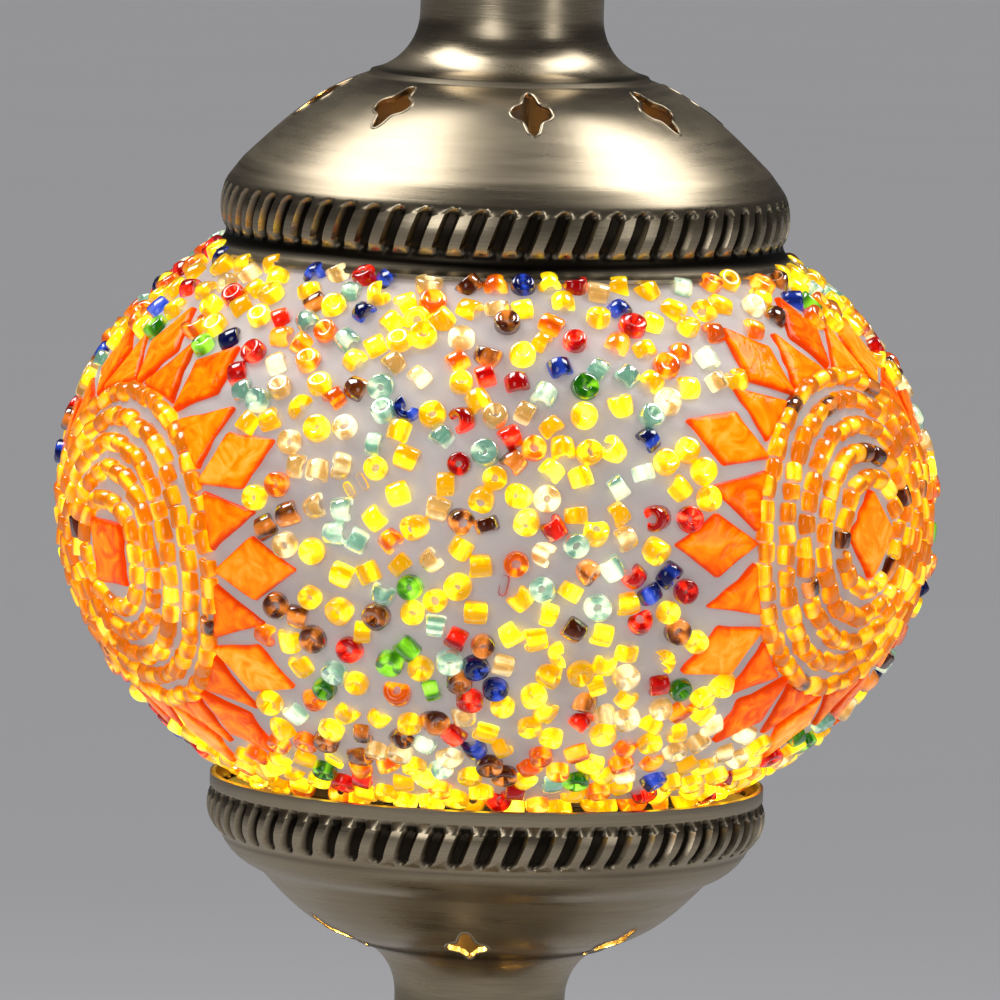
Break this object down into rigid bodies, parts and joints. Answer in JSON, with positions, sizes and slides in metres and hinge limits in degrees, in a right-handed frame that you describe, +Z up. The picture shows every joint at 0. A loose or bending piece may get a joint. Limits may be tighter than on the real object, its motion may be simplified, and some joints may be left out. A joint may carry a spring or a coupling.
{
  "type": "table lamp",
  "caption": "Table lamp with a beaded and tiled glass globe between a spun brass cup and cap, on a turned stem and bell-shaped foot.",
  "frame": {"origin": "on the floor under the lamp's axis, at the underside of the felt pad", "axes": "+Z up the axis; -Y is the front, between two medallions; +Y is the back, with the cord inlet"},
  "size_m": [0.1287, 0.1276, 0.3145],
  "materials": {
    "brushed_brass": "spun, circular brushed, antiqued",
    "turned_brass": "turned and polished, antiqued",
    "bright_brass": "plain",
    "plain_steel": "zinc plated",
    "cast_iron": "as cast, painted",
    "nickel": "nickel plated",
    "solder": "dull",
    "felt": "pressed felt",
    "black_rubber": "matt",
    "bakelite": "moulded",
    "porcelain": "glazed",
    "black_glass": "moulded",
    "bulb_glass": "warm, lit",
    "clear_glass": "clear",
    "filament": "lit phosphor strip",
    "blown_glass": "clear, blown",
    "plaster": "matt plaster grout",
    "amber_tile": "streaked art glass, hand cut"
  },
  "bodies": {
    "base": {"foot_pad": "felt", "base_plate": "plain_steel", "base_screws": "plain_steel", "base_weight": "cast_iron", "weight_nut": "plain_steel", "foot_bell": "brushed_brass", "cord_inlet": "black_rubber", "threaded_rod": "plain_steel", "stem_lower_collar": "turned_brass", "stem_baluster": "turned_brass", "stem_upper_collar": "turned_brass", "cup_bell": "brushed_brass", "cup_washer": "plain_steel", "cup_nut": "plain_steel", "holder_base": "bakelite", "holder_shell": "bakelite", "holder_insulator": "porcelain", "holder_thread": "bright_brass", "centre_contact": "bright_brass", "side_contact": "bright_brass", "terminal_screws": "bright_brass", "clamp_ring": "bakelite", "seat_plate": "plain_steel", "seat_gasket": "black_rubber"},
    "bulb": {"bulb_cap": "nickel", "bulb_insulator": "black_glass", "bulb_tip": "solder", "bulb_glass": "bulb_glass", "bulb_stem": "clear_glass", "bulb_filaments": "filament"},
    "globe": {"glass_globe": "blown_glass", "plaster_coat": "plaster", "centre_tile_1": "amber_tile", "rhomb_tiles_1": "amber_tile", "triangle_tiles_1": "amber_tile", "centre_tile_2": "amber_tile", "rhomb_tiles_2": "amber_tile", "triangle_tiles_2": "amber_tile", "centre_tile_3": "amber_tile", "rhomb_tiles_3": "amber_tile", "triangle_tiles_3": "amber_tile"},
    "cap": {"cap_gasket": "black_rubber", "cap_plate": "plain_steel", "cap_stud": "plain_steel", "cap_nut": "plain_steel", "cap_bell": "brushed_brass", "finial_collar": "turned_brass", "finial_ball": "turned_brass", "finial_spike": "turned_brass"}
  },
  "joints": [
    {"name": "bulb_turn", "type": "hinge", "parent": "base", "child": "bulb", "pos_m": [0, 0, 0.15], "axis": [0, 0, 1], "range_deg": [0, 1260]},
    {"name": "globe_lift", "type": "slide", "parent": "base", "child": "globe", "axis": [0, 0, 1], "range_m": [0, 0.12]},
    {"name": "cap_lift", "type": "slide", "parent": "globe", "child": "cap", "axis": [0, 0, 1], "range_m": [0, 0.04]}
  ]
}
